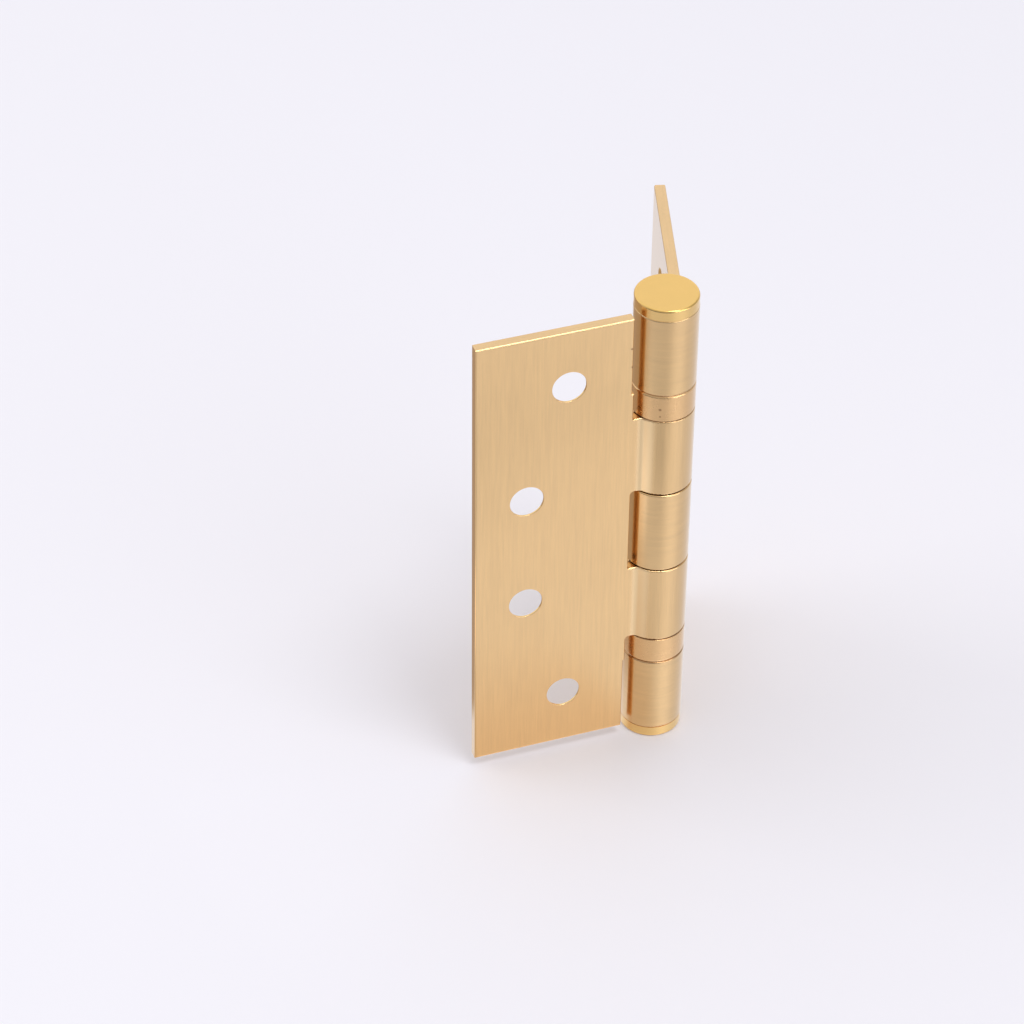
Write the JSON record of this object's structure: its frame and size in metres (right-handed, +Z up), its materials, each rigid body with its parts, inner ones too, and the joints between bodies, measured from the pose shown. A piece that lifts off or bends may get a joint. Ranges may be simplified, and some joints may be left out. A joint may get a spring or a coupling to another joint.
{
  "type": "butt hinge",
  "caption": "Satin brass butt hinge with rolled knuckles, ball-bearing rings between leaves, flat button caps on a fixed pin, and staggered countersunk screw holes.",
  "frame": {"origin": "on the pin's axis, on the flat underside of the bottom cap", "axes": "+Z up along the pin; the frame leaf runs out along +Y with its mounting face towards +X; the door leaf stands open 105.5 degrees"},
  "size_m": [0.0424, 0.0512, 0.1046],
  "materials": {
    "satin_brass_leaf": "satin, brushed along the pin",
    "satin_brass_ring": "satin, brushed round the pin",
    "polished_brass_cap": "fine satin, slightly yellower",
    "steel_pin": "ground",
    "bearing_steel": "polished",
    "bearing_cage": "stamped"
  },
  "bodies": {
    "frame_side": {"frame_leaf": "satin_brass_leaf", "hinge_pin": "steel_pin", "top_cap": "polished_brass_cap", "bottom_cap": "polished_brass_cap", "upper_bearing_shell": "satin_brass_ring", "upper_bearing_frame_race": "bearing_steel", "lower_bearing_shell": "satin_brass_ring", "lower_bearing_frame_race": "bearing_steel"},
    "door_side": {"door_leaf": "satin_brass_leaf", "upper_bearing_door_race": "bearing_steel", "lower_bearing_door_race": "bearing_steel"},
    "upper_ball_set": {"upper_bearing_cage": "bearing_cage", "upper_bearing_balls": "bearing_steel"},
    "lower_ball_set": {"lower_bearing_cage": "bearing_cage", "lower_bearing_balls": "bearing_steel"}
  },
  "joints": [
    {"name": "leaf_swing", "type": "hinge", "parent": "frame_side", "child": "door_side", "pos_m": [0, 0, 0.0523], "axis": [0, 0, 1], "range_deg": [-105.5, 164.5]},
    {"name": "upper_bearing_roll", "type": "hinge", "parent": "frame_side", "child": "upper_ball_set", "pos_m": [0, 0, 0.0819], "axis": [0, 0, 1], "range_deg": [-52.75, 82.25]},
    {"name": "lower_bearing_roll", "type": "hinge", "parent": "frame_side", "child": "lower_ball_set", "pos_m": [0, 0, 0.0227], "axis": [0, 0, 1], "range_deg": [-52.75, 82.25]}
  ],
  "couplings": [
    {"joint": "upper_bearing_roll", "follows": "leaf_swing", "ratio": 0.5},
    {"joint": "lower_bearing_roll", "follows": "leaf_swing", "ratio": 0.5}
  ]
}
